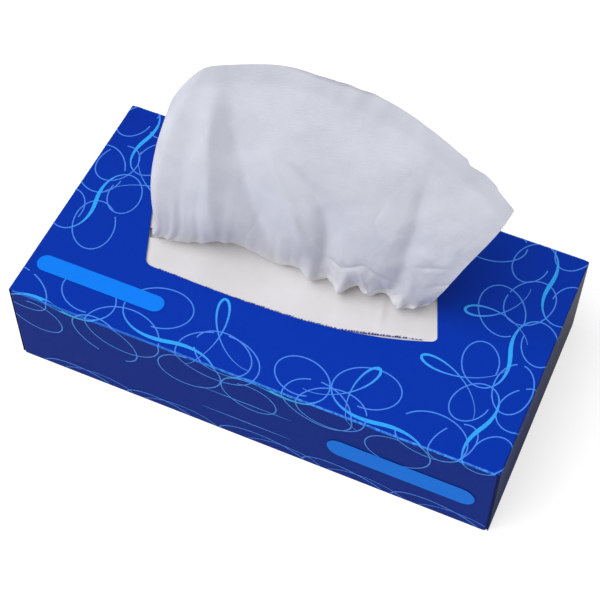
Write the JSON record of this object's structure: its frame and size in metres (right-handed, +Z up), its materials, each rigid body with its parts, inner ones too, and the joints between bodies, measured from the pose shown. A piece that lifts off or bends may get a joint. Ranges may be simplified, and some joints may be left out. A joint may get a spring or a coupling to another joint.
{
  "type": "tissue box",
  "caption": "Flat blue carton of facial tissues with a torn-out leaf-shaped opening, a white slit film and one tissue standing up out of it",
  "frame": {"origin": "Middle of the carton's base", "axes": "+X along the carton's length, +Y from the front panel to the back panel, +Z up"},
  "size_m": [0.23, 0.12, 0.1565],
  "materials": {
    "printed_board": "blue printed, varnished carton board",
    "white_film": "thin milky film",
    "tissue_paper": "soft two-ply tissue"
  },
  "bodies": {
    "root": {"carton": "printed_board", "window_film": "white_film", "tissue_stack": "tissue_paper", "top_tissue": "tissue_paper"}
  },
  "joints": []
}
